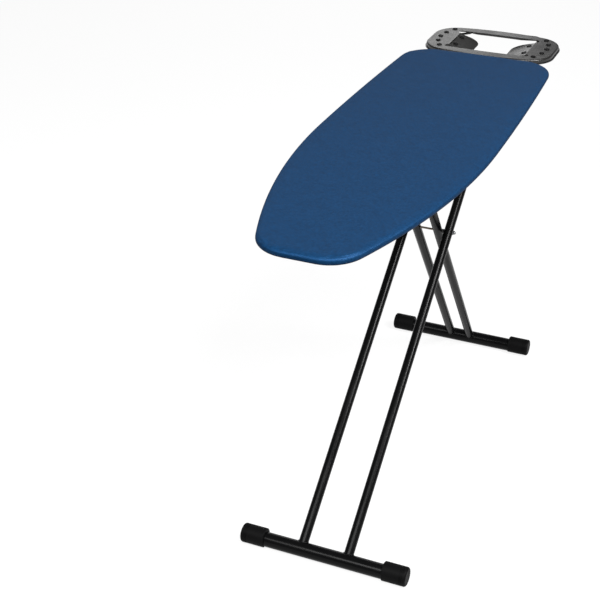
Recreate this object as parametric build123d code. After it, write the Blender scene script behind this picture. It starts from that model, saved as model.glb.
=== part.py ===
from build123d import *
import os
from math import asin, atan, cos, degrees, radians, sin, sqrt, tan

# Ironing board on crossed tubular legs, millimetres, +Z up.
# X runs across the board, +Y runs towards the iron rest, the floor is Z = 0.
# The origin is on the floor, under the middle of the standing board's outer box.

# ---------------------------------------------------------------- driving dimensions
BOARD_LENGTH = 1200.0
BOARD_HALF_WIDTH = 204.4
BOARD_TOP = 840.0
BOARD_THICKNESS = 16.0
OVERALL_LENGTH = 1453.5

WIDEST_FROM_END = 590.0      # where the board is widest, measured from its square end
END_CORNER_RADIUS = 82.0
NOSE_CORNER_RADIUS = 80.0
REAR_SIDE_RADIUS = 9860.0
NOSE_SIDE_RADIUS = 1650.0
EDGE_ROUNDING = 7.0

COVER_THICKNESS = 1.5
HEM_WIDTH = 32.0
PAD_THICKNESS = 5.5
PAD_INSET = 2.6
DECK_INSET = 3.2
DECK_SHEET = 1.2
RIM_WIDTH = 12.0
RIM_SHEET = 1.2
BRACE_HEIGHT = 6.0

LEG_RADIUS = 11.0
LEG_WALL = 1.5
LEG_END = 8.0                # tube left beyond a pivot at its top end
OUTER_TUBE_X = 54.0
INNER_TUBE_X = 27.0
FOOT_RADIUS = 17.0
FOOT_WALL = 1.5
FOOT_HALF_LENGTH = 196.0
CAP_RADIUS = 22.0
CAP_LENGTH = 56.0
CAP_END_WALL = 8.0
CAP_OFFSET = 3.3             # the caps sit this far above the foot bar's axis

HINGE_HEIGHT = 807.3
HINGE_FROM_END = 48.8
OUTER_LOWER = 826.4          # outer leg, scissor pivot to foot
INNER_LOWER = 638.9          # inner leg, scissor pivot to foot
UPPER_SHARE = 0.5419         # upper arm over lower arm, the same in both legs
FOLD_TRAVEL = 37.2           # degrees the outer leg swings from standing to folded

PIN_RADIUS = 4.0
SCISSOR_ROD_RADIUS = 2.5
SPACER_RADIUS = 5.0
WASHER_RADIUS = 5.5
WASHER_THICKNESS = 1.2
RUNNING_CLEARANCE = 0.06

RAIL_HALF_WIDTH = 8.0
RAIL_SHEET = 1.5
SLOT_CLEARANCE = 0.45
SHOE_HALF_WIDTH = 6.2
LEVER_PLATE_X = 9.0
LEVER_PLATE_SHEET = 1.5
PAWL_RADIUS = 2.5
PAWL_GAP = 0.5
PAWL_OFFSET = (24.0, -16.0)  # pawl pin from the slide rod, in Y and Z
HEIGHT_NOTCHES = 7
NOTCH_RANGE = 0.62           # share of the fold that the height settings cover
GRIP_ROOT = (-36.0, -34.5)   # lever paddle from the slide rod, in Y and Z
GRIP_END = (-98.0, -50.5)

REST_SHIFT = -5.0            # the iron rest hangs a little left of the board's middle line
PLATE_TOP = 834.4
PLATE_SHEET = 1.5
PLATE_HALF_X = 170.5
PLATE_HALF_Y = 109.5
PLATE_GAP = 4.9              # between the board's square end and the iron rest
PLATE_RIM = 11.8
PLATE_LIP = 3.0
PLATE_ROLL = 4.0             # outer radius where the top turns down into the rim
PLATE_CORNER = 72.0
PLATE_CROWN_HALF = 116.0     # half length of the crowned long sides
PLATE_FLAT_SIDE = 29.0
OPENING_HALF_X = 110.7
OPENING_HALF_Y = 68.4
OPENING_CROWN = 3.0
OPENING_FLANGE = 6.0         # depth of the window's turned-down edge, along its middle
OPENING_FLANGE_HALF = 60.0   # half length of that full depth, before it runs out to nothing
FLAP_HALF_WIDTH = 52.0
FLAP_REACH = 66.0
FLAP_DROOP = 18.0
FLAP_CORNER = 32.0
FLAP_FLANGE = 8.5            # depth of the turned-down long edges of each flap
FLAP_FLANGE_START = 3.0      # from the fold line
STUD_RADIUS = 6.6
STUD_HEIGHT = 2.0
STUD_RING = 141.0
STUD_RING_SHIFT = (2.3, 5.8)
STUD_STEP = 14.75            # degrees between neighbouring studs
STUD_EDGE = 1.6
FLAP_STUD_X = 91.4
FLAP_STUD_SPACING = 56.0

WIRE_RADIUS = 3.0
WIRE_SHIFT = -2.5            # the bent wire's middle line, from the board's
WIRE_X = 91.4
WIRE_WIDE_X = 124.0          # under the solid sides of the iron rest
WIRE_NARROW_RUN = 104.0      # where the wire leaves its narrow run, from the rest's middle
WIRE_WIDE_RUN = 74.0         # where it reaches its wide run
WIRE_BEND = 12.0
WIRE_EASE = 20.0
WIRE_UNDER_BOARD = 817.0
WIRE_UNDER_PLATE = 819.4
CLIP_SPACING = 56.0

# ---------------------------------------------------------------- derived places
SQUARE_END_Y = BOARD_LENGTH - OVERALL_LENGTH / 2
FOOT_Z = CAP_RADIUS - CAP_OFFSET
HINGE_Y = SQUARE_END_Y - HINGE_FROM_END
PIVOT_Z = FOOT_Z + (HINGE_HEIGHT - FOOT_Z) / (1 + UPPER_SHARE)
OUTER_ANGLE = asin((PIVOT_Z - FOOT_Z) / OUTER_LOWER)
INNER_ANGLE = asin((PIVOT_Z - FOOT_Z) / INNER_LOWER)
OUTER_UPPER = UPPER_SHARE * OUTER_LOWER
INNER_UPPER = UPPER_SHARE * INNER_LOWER
PIVOT_Y = HINGE_Y - OUTER_UPPER * cos(OUTER_ANGLE)
FRONT_FOOT_Y = PIVOT_Y - OUTER_LOWER * cos(OUTER_ANGLE)
REAR_FOOT_Y = PIVOT_Y + INNER_LOWER * cos(INNER_ANGLE)
SLIDE_Y = PIVOT_Y - INNER_UPPER * cos(INNER_ANGLE)
SLIDE_Z = HINGE_HEIGHT
FOLD_RATIO = INNER_ANGLE / OUTER_ANGLE

COVER_BOTTOM = BOARD_TOP - BOARD_THICKNESS
DECK_TOP = BOARD_TOP - COVER_THICKNESS - PAD_THICKNESS
DECK_BOTTOM = DECK_TOP - DECK_SHEET
BRACE_BOTTOM = DECK_BOTTOM - BRACE_HEIGHT
PLATE_Y = SQUARE_END_Y + PLATE_GAP + PLATE_HALF_Y
FLAP_ANGLE = atan(FLAP_DROOP / FLAP_REACH)
WIRE_LOOP_Y = OVERALL_LENGTH / 2 - WIRE_RADIUS

BRACES = {                   # name: (centre Y, half length across)
    "rear": (HINGE_Y, 150.0),
    "wire": (HINGE_Y - 82.0, 170.0),
    "middle": (-86.0, 182.0),
    "front": (-412.0, 150.0),
    "nose": (-585.0, 100.0),
}
BRACE_HALF_WIDTH = 15.0


# ---------------------------------------------------------------- helpers
def half_width(from_end):
    """Half the board's width at a distance from its square end."""
    run = from_end - WIDEST_FROM_END
    radius = REAR_SIDE_RADIUS if run < 0 else NOSE_SIDE_RADIUS
    return BOARD_HALF_WIDTH - (radius - sqrt(radius ** 2 - run ** 2))


def board_face(inset=0.0):
    """The board's plan: two bowed sides, a straight square end and a blunt nose."""
    side_turn = asin((WIDEST_FROM_END - END_CORNER_RADIUS) / (REAR_SIDE_RADIUS - END_CORNER_RADIUS))
    nose_run = BOARD_LENGTH - WIDEST_FROM_END - NOSE_CORNER_RADIUS
    nose_turn = asin(nose_run / (NOSE_SIDE_RADIUS - NOSE_CORNER_RADIUS))

    def at(x, from_end):
        return (x, SQUARE_END_Y - from_end)

    def on_arc(radius, turn, centre_x, centre_run):
        return (centre_x + radius * cos(turn), centre_run + radius * sin(turn))

    rear_centre = BOARD_HALF_WIDTH - REAR_SIDE_RADIUS
    nose_centre = BOARD_HALF_WIDTH - NOSE_SIDE_RADIUS
    end_x = rear_centre + (REAR_SIDE_RADIUS - END_CORNER_RADIUS) * cos(side_turn)
    tip_x = nose_centre + (NOSE_SIDE_RADIUS - NOSE_CORNER_RADIUS) * cos(nose_turn)
    tip_run = BOARD_LENGTH - NOSE_CORNER_RADIUS
    half_turn_end = radians(90) / 2 + side_turn / 2
    half_turn_tip = radians(90) / 2 + nose_turn / 2

    widest = (BOARD_HALF_WIDTH, WIDEST_FROM_END)
    rear_mid = on_arc(REAR_SIDE_RADIUS, -side_turn / 2, rear_centre, WIDEST_FROM_END)
    rear_join = on_arc(REAR_SIDE_RADIUS, -side_turn, rear_centre, WIDEST_FROM_END)
    end_mid = on_arc(END_CORNER_RADIUS, -half_turn_end, end_x, END_CORNER_RADIUS)
    end_join = (end_x, 0)
    nose_mid = on_arc(NOSE_SIDE_RADIUS, nose_turn / 2, nose_centre, WIDEST_FROM_END)
    nose_join = on_arc(NOSE_SIDE_RADIUS, nose_turn, nose_centre, WIDEST_FROM_END)
    tip_mid = on_arc(NOSE_CORNER_RADIUS, half_turn_tip, tip_x, tip_run)
    tip_join = (tip_x, BOARD_LENGTH)

    def mirrored(point):
        return (-point[0], point[1])

    edges = []
    for side in (lambda p: p, mirrored):
        edges.append(ThreePointArc(at(*side(widest)), at(*side(rear_mid)), at(*side(rear_join))))
        edges.append(ThreePointArc(at(*side(rear_join)), at(*side(end_mid)), at(*side(end_join))))
        edges.append(ThreePointArc(at(*side(widest)), at(*side(nose_mid)), at(*side(nose_join))))
        edges.append(ThreePointArc(at(*side(nose_join)), at(*side(tip_mid)), at(*side(tip_join))))
    edges.append(Line(at(*end_join), at(*mirrored(end_join))))
    edges.append(Line(at(*tip_join), at(*mirrored(tip_join))))
    face = make_face(edges)
    return offset(face, -inset, kind=Kind.ARC) if inset else face


def slab(face, low, high):
    """A flat plan face made solid between two heights."""
    return extrude(Pos(0, 0, low) * face, high - low, dir=(0, 0, 1))


def box_between(low, high):
    """A box from its lowest corner to its highest corner."""
    size = [h - l for l, h in zip(low, high)]
    centre = [(h + l) / 2 for l, h in zip(low, high)]
    return Pos(*centre) * Box(*size)


def rod_x(x_from, x_to, y, z, radius):
    """A round bar lying along X."""
    centre = Pos((x_from + x_to) / 2, y, z)
    return centre * Rot(0, 90, 0) * Cylinder(radius, abs(x_to - x_from))


def side_face(outline_face, x_from, x_to):
    """A face drawn in the Y-Z plane made solid across X."""
    return extrude(Plane.YZ.offset(min(x_from, x_to)) * outline_face, abs(x_to - x_from))


def ends(solid, height):
    """Edges of a solid that lie wholly at one height."""
    near = 0.01
    found = []
    for edge in solid.edges():
        box = edge.bounding_box()
        if abs(box.min.Z - height) < near and abs(box.max.Z - height) < near:
            found.append(edge)
    return found


def leg_tube(x, foot_y, top_y, top_z, bores):
    """A straight leg tube, coped onto its foot bar, open at its upper end, with cross bores."""
    foot = Vector(x, foot_y, FOOT_Z)
    along = (Vector(x, top_y, top_z) - foot).normalized()
    tip = Vector(x, top_y, top_z) + along * LEG_END
    frame = Plane(origin=foot, z_dir=along)
    length = (tip - foot).length
    body = extrude(frame * Circle(LEG_RADIUS), length)
    body -= extrude(frame * Circle(LEG_RADIUS - LEG_WALL), length)
    body -= rod_x(x - 2 * LEG_RADIUS, x + 2 * LEG_RADIUS, foot_y, FOOT_Z, FOOT_RADIUS)
    body = body.solids().sort_by(SortBy.VOLUME)[-1]
    for (y, z, radius) in bores:
        body -= rod_x(x - 2 * LEG_RADIUS, x + 2 * LEG_RADIUS, y, z, radius)
    return body


def tube_plug(x, foot_y, top_y, top_z):
    """A plastic end plug in a leg tube's open upper end."""
    disc, insert = 2.0, 3.0
    foot = Vector(x, foot_y, FOOT_Z)
    along = (Vector(x, top_y, top_z) - foot).normalized()
    frame = Plane(origin=Vector(x, top_y, top_z) + along * LEG_END, z_dir=along)
    head = extrude(frame * Circle(LEG_RADIUS), disc)
    head = fillet(head.edges().filter_by(GeomType.CIRCLE).sort_by(Axis(frame.origin, along))[-1], 1.5)
    return head + extrude(frame * Circle(LEG_RADIUS - LEG_WALL - 0.05), -insert)


def foot_bar(y):
    """The cross tube that a pair of leg tubes stands on."""
    reach = FOOT_HALF_LENGTH - CAP_END_WALL
    return (rod_x(-reach, reach, y, FOOT_Z, FOOT_RADIUS)
            - rod_x(-reach, reach, y, FOOT_Z, FOOT_RADIUS - FOOT_WALL))


def foot_cap(y, side):
    """A moulded cup over one end of a foot bar: bored off centre, three fine grooves near its tip."""
    grooves, groove_width, groove_depth, pitch = 3, 1.4, 0.8, 3.0
    tip_round, mouth_round = 5.0, 1.5
    inner = FOOT_HALF_LENGTH - CAP_LENGTH
    body = rod_x(inner, FOOT_HALF_LENGTH, 0, CAP_RADIUS, CAP_RADIUS)
    body = fillet(body.edges().group_by(Axis.X)[-1], tip_round)
    body = chamfer(body.edges().group_by(Axis.X)[0], mouth_round)
    for groove in range(grooves):
        start = FOOT_HALF_LENGTH - tip_round - 3.0 - groove * pitch
        ring = rod_x(start - groove_width, start, 0, CAP_RADIUS, CAP_RADIUS + 1)
        body -= ring - rod_x(start - groove_width, start, 0, CAP_RADIUS, CAP_RADIUS - groove_depth)
    body -= rod_x(inner, FOOT_HALF_LENGTH - CAP_END_WALL, 0, FOOT_Z, FOOT_RADIUS)
    if side < 0:
        body = mirror(body, about=Plane.YZ)
    return Pos(0, y, 0) * body


# ---------------------------------------------------------------- board
def board_cover():
    """Fabric cover: one skin over the top and edge, with its hem turned under the rim."""
    skin = slab(board_face(), COVER_BOTTOM, BOARD_TOP)
    skin = fillet(ends(skin, BOARD_TOP) + ends(skin, COVER_BOTTOM), EDGE_ROUNDING)
    inside = slab(board_face(COVER_THICKNESS), COVER_BOTTOM + COVER_THICKNESS, BOARD_TOP - COVER_THICKNESS)
    inside_edges = ends(inside, BOARD_TOP - COVER_THICKNESS) + ends(inside, COVER_BOTTOM + COVER_THICKNESS)
    inside = fillet(inside_edges, EDGE_ROUNDING - COVER_THICKNESS)
    mouth = slab(board_face(HEM_WIDTH), COVER_BOTTOM, COVER_BOTTOM + COVER_THICKNESS)
    return skin - inside - mouth


def underlay_pad():
    """Felt and foam layer between the cover and the steel deck."""
    pad = slab(board_face(PAD_INSET), DECK_TOP, DECK_TOP + PAD_THICKNESS)
    return fillet(ends(pad, DECK_TOP + PAD_THICKNESS), PAD_THICKNESS - 1.0)


def deck_mesh():
    """Steam-through steel deck: a sheet with staggered diamond openings."""
    opening_x, opening_y, pitch_x, pitch_y, border = 22.0, 46.0, 33.0, 31.0, 26.0
    sheet = board_face(DECK_INSET)
    holes = []
    rows = int(BOARD_LENGTH / pitch_y)
    for row in range(1, rows):
        from_end = row * pitch_y
        shift = pitch_x / 2 if row % 2 else 0.0
        for column in range(-6, 7):
            x = column * pitch_x + shift
            far = min(half_width(from_end + opening_y / 2), half_width(from_end - opening_y / 2))
            ends_clear = border + opening_y / 2 < from_end < BOARD_LENGTH - border - opening_y / 2
            in_corner = from_end < 2 * border + opening_y and abs(x) > BOARD_HALF_WIDTH - END_CORNER_RADIUS
            if abs(x) + opening_x / 2 + border < far and ends_clear and not in_corner:
                y = SQUARE_END_Y - from_end
                holes.append(Wire.make_polygon([(x - opening_x / 2, y), (x, y - opening_y / 2),
                                                (x + opening_x / 2, y), (x, y + opening_y / 2)]))
    pierced = Face(sheet.faces()[0].outer_wire(), holes)
    return slab(pierced, DECK_BOTTOM, DECK_TOP)


def deck_rim():
    """Rolled steel channel round the deck's edge, open towards the middle."""
    low = DECK_BOTTOM - BRACE_HEIGHT
    rolled = 4.0
    outside = slab(board_face(DECK_INSET), low, DECK_BOTTOM)
    outside = fillet(ends(outside, low), rolled)
    groove = slab(board_face(DECK_INSET + RIM_SHEET), low + RIM_SHEET, DECK_BOTTOM - RIM_SHEET)
    groove = fillet(ends(groove, low + RIM_SHEET), rolled - RIM_SHEET)
    middle = slab(board_face(DECK_INSET + RIM_WIDTH), low, DECK_BOTTOM)
    return outside - groove - middle


def cross_brace(centre_y, half_length):
    """A hat-section strap across the deck's underside, welded to the mesh."""
    sheet, flange = 1.5, 7.0
    crown = BRACE_HALF_WIDTH - flange
    top = box_between((-half_length, centre_y - BRACE_HALF_WIDTH, DECK_BOTTOM - sheet),
                      (half_length, centre_y + BRACE_HALF_WIDTH, DECK_BOTTOM))
    hat = box_between((-half_length, centre_y - crown, BRACE_BOTTOM),
                      (half_length, centre_y + crown, DECK_BOTTOM))
    hollow = box_between((-half_length, centre_y - crown + sheet, BRACE_BOTTOM + sheet),
                         (half_length, centre_y + crown - sheet, DECK_BOTTOM))
    return (top + hat) - hollow


def stiffener(side):
    """A long channel under the braces that keeps the deck from sagging."""
    inner, outer, depth, sheet = 106.0, 120.0, 9.0, 1.5
    rear, nose = HINGE_Y + BRACE_HALF_WIDTH, BRACES["front"][0] - BRACE_HALF_WIDTH - 40.0
    shell = box_between((inner, nose, BRACE_BOTTOM - depth), (outer, rear, BRACE_BOTTOM))
    shell = fillet(shell.edges().filter_by(Axis.Y).group_by(Axis.Z)[0], 2.0)
    hollow = box_between((inner + sheet, nose, BRACE_BOTTOM - depth + sheet), (outer - sheet, rear, BRACE_BOTTOM))
    body = shell - hollow
    return body if side > 0 else mirror(body, about=Plane.YZ)


def hinge_bracket(side):
    """A riveted clevis that holds the top of one outer leg tube."""
    sheet, base, half_length, drop, ear_gap = 1.8, 1.8, 15.0, 9.0, 0.8
    inner = OUTER_TUBE_X - LEG_RADIUS - ear_gap
    outer = OUTER_TUBE_X + LEG_RADIUS + ear_gap
    foot = 13.0
    body = box_between((inner - sheet, HINGE_Y - half_length, BRACE_BOTTOM - base),
                       (outer + sheet + foot, HINGE_Y + half_length, BRACE_BOTTOM))
    with BuildSketch() as ear:
        with Locations((HINGE_Y, HINGE_HEIGHT)):
            Circle(drop)
        with Locations((HINGE_Y, (HINGE_HEIGHT + BRACE_BOTTOM) / 2)):
            Rectangle(2 * drop, BRACE_BOTTOM - HINGE_HEIGHT)
        Polygon((HINGE_Y - half_length, BRACE_BOTTOM), (HINGE_Y + half_length, BRACE_BOTTOM),
                (HINGE_Y + drop, HINGE_HEIGHT), (HINGE_Y - drop, HINGE_HEIGHT), align=None)
    for x in (inner - sheet, outer):
        body += side_face(ear.sketch, x, x + sheet)
    body -= rod_x(inner - 2 * sheet, outer + 2 * sheet, HINGE_Y, HINGE_HEIGHT, PIN_RADIUS)
    return body if side > 0 else mirror(body, about=Plane.YZ)


def hinge_pin(side):
    """The stub pin of one outer leg tube, with a rolled head at each end."""
    inner, outer = OUTER_TUBE_X - LEG_RADIUS - 2.6, OUTER_TUBE_X + LEG_RADIUS + 2.6
    body = rod_x(inner, outer, HINGE_Y, HINGE_HEIGHT, PIN_RADIUS)
    body += rod_x(inner - 1.2, inner, HINGE_Y, HINGE_HEIGHT, PIN_RADIUS + 1.5)
    body += rod_x(outer, outer + 2.2, HINGE_Y, HINGE_HEIGHT, PIN_RADIUS + 2.5)
    return body if side > 0 else mirror(body, about=Plane.YZ)


def bracket_rivets():
    """Dome rivets through the feet of both hinge brackets."""
    head, height = 4.0, 1.8
    x = OUTER_TUBE_X + LEG_RADIUS + 2.6 + 7.0
    low = BRACE_BOTTOM - 1.8
    group = []
    for side in (-1, 1):
        for dy in (-9.0, 9.0):
            rivet = Pos(side * x, HINGE_Y + dy, low - height / 2) * Cylinder(head, height)
            group.append(fillet(rivet.edges().group_by(Axis.Z)[0], height - 0.3))
    return Compound(group)


# ---------------------------------------------------------------- height rack and its shoe
def slide_path(fold):
    """Centre of the slide rod, in Y and Z, when the outer leg has swung by a number of degrees."""
    outer = OUTER_ANGLE - radians(fold)
    inner = INNER_ANGLE - radians(fold) * FOLD_RATIO
    y = HINGE_Y - OUTER_UPPER * cos(outer) - INNER_UPPER * cos(inner)
    z = HINGE_HEIGHT - OUTER_UPPER * sin(outer) + INNER_UPPER * sin(inner)
    return y, z


def path_points(shift_y, shift_z, count=9):
    """Points along the slide rod's path, shifted, from the standing end to the folded end."""
    folds = [FOLD_TRAVEL * i / (count - 1) for i in range(count)]
    return [(slide_path(f)[0] + shift_y, slide_path(f)[1] + shift_z) for f in folds]


def rack_slot():
    """The bowed slot that the slide rod runs in."""
    reach = PIN_RADIUS + SLOT_CLEARANCE
    upper, lower = path_points(0, reach), path_points(0, -reach)
    start, finish = path_points(0, 0)[0], path_points(0, 0)[-1]
    edges = [Spline(*upper), Spline(*lower),
             ThreePointArc(upper[0], (start[0] + reach, start[1]), lower[0]),
             ThreePointArc(upper[-1], (finish[0] - reach, finish[1]), lower[-1])]
    return make_face(edges)


def rack_rail():
    """Inverted channel with the slide slot in both walls and height notches in its lower edges."""
    flange, tail = 7.0, 12.0
    rear = BRACES["middle"][0] + BRACE_HALF_WIDTH
    nose = BRACES["front"][0] - BRACE_HALF_WIDTH
    edge_shift = PAWL_OFFSET[1] + PAWL_RADIUS + PAWL_GAP
    edge = path_points(PAWL_OFFSET[0], edge_shift)
    rear_low, nose_low = edge[0], edge[-1]
    flange_low = BRACE_BOTTOM - RAIL_SHEET
    wall_edges = [
        Line((rear, BRACE_BOTTOM), (nose, BRACE_BOTTOM)),
        Line((rear, BRACE_BOTTOM), (rear, flange_low)),
        Line((rear, flange_low), (rear_low[0] + 1.0, rear_low[1])),
        Line((rear_low[0] + 1.0, rear_low[1]), rear_low),
        Spline(*edge),
        Line(nose_low, (nose_low[0] - tail - PAWL_OFFSET[0], nose_low[1])),
        Line((nose_low[0] - tail - PAWL_OFFSET[0], nose_low[1]), (nose, flange_low)),
        Line((nose, flange_low), (nose, BRACE_BOTTOM)),
    ]
    wall = make_face(wall_edges) - rack_slot()
    notch_radius = PAWL_RADIUS + 0.6
    for notch in range(HEIGHT_NOTCHES):
        y, z = slide_path(FOLD_TRAVEL * NOTCH_RANGE * notch / (HEIGHT_NOTCHES - 1))
        centre = (y + PAWL_OFFSET[0], z + edge_shift + 1.0)
        wall -= Pos(*centre) * Circle(notch_radius)
        wall -= Pos(centre[0], centre[1] - notch_radius) * Rectangle(2 * notch_radius, 2 * notch_radius)
    body = side_face(wall, -RAIL_HALF_WIDTH, RAIL_HALF_WIDTH)
    gap = RAIL_HALF_WIDTH - RAIL_SHEET
    body -= box_between((-gap, nose - 1, HINGE_HEIGHT - 60), (gap, rear + 1, flange_low))
    for side in (-1, 1):
        low_x, high_x = sorted((side * (RAIL_HALF_WIDTH - 0.1), side * (RAIL_HALF_WIDTH + flange)))
        body += box_between((low_x, nose, flange_low), (high_x, rear, BRACE_BOTTOM))
    return body


def rail_rivets():
    """Dome rivets that hold the rail's flanges to the two braces that it spans."""
    head, height = 3.0, 1.5
    low = BRACE_BOTTOM - RAIL_SHEET
    group = []
    for brace in ("middle", "front"):
        for side in (-1, 1):
            at = (side * (RAIL_HALF_WIDTH + 3.5), BRACES[brace][0], low - height / 2)
            rivet = Pos(*at) * Cylinder(head, height)
            group.append(fillet(rivet.edges().group_by(Axis.Z)[0], height - 0.3))
    return Compound(group)


def rail_shoe():
    """Nylon shoe that runs in the rail and keeps the slide rod square to it."""
    half_length, half_height = 15.0, 6.5
    body = box_between((-SHOE_HALF_WIDTH, SLIDE_Y - half_length, SLIDE_Z - half_height),
                       (SHOE_HALF_WIDTH, SLIDE_Y + half_length, SLIDE_Z + half_height))
    body = fillet(body.edges().filter_by(Axis.X), 3.0)
    return body - rod_x(-20, 20, SLIDE_Y, SLIDE_Z, PIN_RADIUS + RUNNING_CLEARANCE)


# ---------------------------------------------------------------- release lever
def lever_plate(side):
    """One cheek of the release lever: slide rod bore, pawl end and tail into the grip."""
    def link(first, second):
        rounds = [Pos(*p[:2]) * Circle(p[2]) for p in (first, second)]
        return make_face(make_hull([e for r in rounds for e in r.edges()]).edges())

    hub = (SLIDE_Y, SLIDE_Z, 7.5)
    pawl = (SLIDE_Y + PAWL_OFFSET[0], SLIDE_Z + PAWL_OFFSET[1], 5.5)
    tail = (SLIDE_Y + GRIP_ROOT[0], SLIDE_Z + GRIP_ROOT[1], 7.0)
    tip = (SLIDE_Y + GRIP_END[0] + 14.0, SLIDE_Z + GRIP_END[1] + 3.0, 4.0)
    cheek = link(hub, pawl) + link(hub, tail) + link(tail, tip)
    body = side_face(cheek, LEVER_PLATE_X, LEVER_PLATE_X + LEVER_PLATE_SHEET)
    body -= rod_x(0, 20, SLIDE_Y, SLIDE_Z, PIN_RADIUS + RUNNING_CLEARANCE)
    body -= rod_x(0, 20, pawl[0], pawl[1], PAWL_RADIUS)
    return body if side > 0 else mirror(body, about=Plane.YZ)


def pawl_pin():
    """The cross pin that drops into a height notch."""
    reach = LEVER_PLATE_X + LEVER_PLATE_SHEET
    y, z = SLIDE_Y + PAWL_OFFSET[0], SLIDE_Z + PAWL_OFFSET[1]
    body = rod_x(-reach, reach, y, z, PAWL_RADIUS)
    for side in (-1, 1):
        body += rod_x(side * reach, side * (reach + 1.0), y, z, PAWL_RADIUS + 1.2)
    return body


def lever_grip():
    """Moulded paddle on the lever's tail, wider at its end, squeezed up to change height."""
    half_width_root, half_width_end, half_thick, corner, edge = 15.0, 31.0, 6.5, 9.0, 4.0
    root_y, root_z = SLIDE_Y + GRIP_ROOT[0] + 6.0, SLIDE_Z + GRIP_ROOT[1]
    end_y, end_z = SLIDE_Y + GRIP_END[0], SLIDE_Z + GRIP_END[1]
    along = Vector(0, end_y - root_y, end_z - root_z)
    frame = Plane(origin=(0, root_y, root_z), x_dir=along.normalized(), z_dir=Vector(1, 0, 0).cross(along))
    outline = Polygon((0, -half_width_root), (0, half_width_root), (along.length, half_width_end),
                      (along.length, -half_width_end), align=None)
    outline = fillet(outline.vertices(), corner)
    body = extrude(frame * outline, half_thick, both=True)
    body = fillet(body.faces().sort_by(Axis(frame.origin, frame.z_dir))[-1].edges(), edge)
    body = fillet(body.faces().sort_by(Axis(frame.origin, frame.z_dir))[0].edges(), edge)
    for side in (-1, 1):
        body -= lever_plate(side)
    return body


def lever_spring():
    """Torsion spring round the slide rod that pushes the pawl up into the rack."""
    wire, coil, turns, pitch = 0.7, 6.2, 2, 1.55
    start_x = LEVER_PLATE_X + LEVER_PLATE_SHEET + 1.0
    path = Helix(pitch=pitch, height=turns * pitch, radius=coil)
    section = Plane(origin=path @ 0, z_dir=path % 0) * Circle(wire)
    body = sweep(section, path=path, is_frenet=True)
    return Pos(start_x, SLIDE_Y, SLIDE_Z) * Rot(0, 90, 0) * body


def rod_spacer():
    """Nylon ring on the slide rod, opposite the spring."""
    near_x, far_x = LEVER_PLATE_X + LEVER_PLATE_SHEET + 0.5, INNER_TUBE_X - LEG_RADIUS - 0.3
    ring = rod_x(-far_x, -near_x, SLIDE_Y, SLIDE_Z, 7.5)
    return ring - rod_x(-far_x, -near_x, SLIDE_Y, SLIDE_Z, PIN_RADIUS)


# ---------------------------------------------------------------- iron rest
def plate_face(inset=0.0):
    """Plan of the iron rest, centred on its own middle: crowned long sides, round corners."""
    crown_half = PLATE_CROWN_HALF
    corner_x = PLATE_HALF_X - PLATE_CORNER
    turn = asin((crown_half - corner_x) / PLATE_CORNER)
    corner_top = PLATE_FLAT_SIDE + PLATE_CORNER * cos(turn)
    middle = (corner_x + PLATE_CORNER * sin((radians(90) + turn) / 2),
              PLATE_FLAT_SIDE + PLATE_CORNER * cos((radians(90) + turn) / 2))
    edges = []
    for sx in (-1, 1):
        edges.append(Line((sx * PLATE_HALF_X, -PLATE_FLAT_SIDE), (sx * PLATE_HALF_X, PLATE_FLAT_SIDE)))
        for sy in (-1, 1):
            edges.append(ThreePointArc((sx * PLATE_HALF_X, sy * PLATE_FLAT_SIDE),
                                       (sx * middle[0], sy * middle[1]), (sx * crown_half, sy * corner_top)))
    for sy in (-1, 1):
        edges.append(ThreePointArc((-crown_half, sy * corner_top), (0, sy * PLATE_HALF_Y),
                                   (crown_half, sy * corner_top)))
    face = make_face(edges)
    return offset(face, -inset, kind=Kind.ARC) if inset else face


def opening_face(grow=0.0):
    """The window in the iron rest: bowed long sides and two round-ended slits beside each flap."""
    half_x, half_y = OPENING_HALF_X + grow, OPENING_HALF_Y + grow
    slit = (OPENING_HALF_Y - FLAP_HALF_WIDTH) / 2
    slit_y = FLAP_HALF_WIDTH + slit
    window = make_face([
        ThreePointArc((-half_x + slit, half_y), (0, half_y + OPENING_CROWN), (half_x - slit, half_y)),
        ThreePointArc((-half_x + slit, -half_y), (0, -half_y - OPENING_CROWN), (half_x - slit, -half_y)),
        Line((-half_x + slit, -half_y), (-half_x + slit, half_y)),
        Line((half_x - slit, -half_y), (half_x - slit, half_y)),
    ])
    for sx in (-1, 1):
        for sy in (-1, 1):
            window += Pos(sx * (half_x - slit - grow), sy * slit_y) * Circle(slit + grow)
    return window


def flap(side):
    """One tongue of the window with stiffened edges, bent down along the window's end."""
    length = FLAP_REACH / cos(FLAP_ANGLE)
    outline = Polygon((0, -FLAP_HALF_WIDTH), (0, FLAP_HALF_WIDTH), (length, FLAP_HALF_WIDTH),
                      (length, -FLAP_HALF_WIDTH), align=None)
    outline = fillet(outline.vertices().group_by(Axis.X)[-1], FLAP_CORNER)
    tongue = slab(outline, -PLATE_SHEET, 0)
    for edge in (-1, 1):
        inner, outer = sorted((edge * (FLAP_HALF_WIDTH - PLATE_SHEET), edge * FLAP_HALF_WIDTH))
        tongue += box_between((FLAP_FLANGE_START, inner, -FLAP_FLANGE), (length - FLAP_CORNER, outer, 0))
    hinge = Pos(-OPENING_HALF_X, 0, PLATE_TOP) * Rot(0, degrees(FLAP_ANGLE), 0)
    body = hinge * tongue
    return body if side < 0 else mirror(body, about=Plane.YZ)


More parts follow.
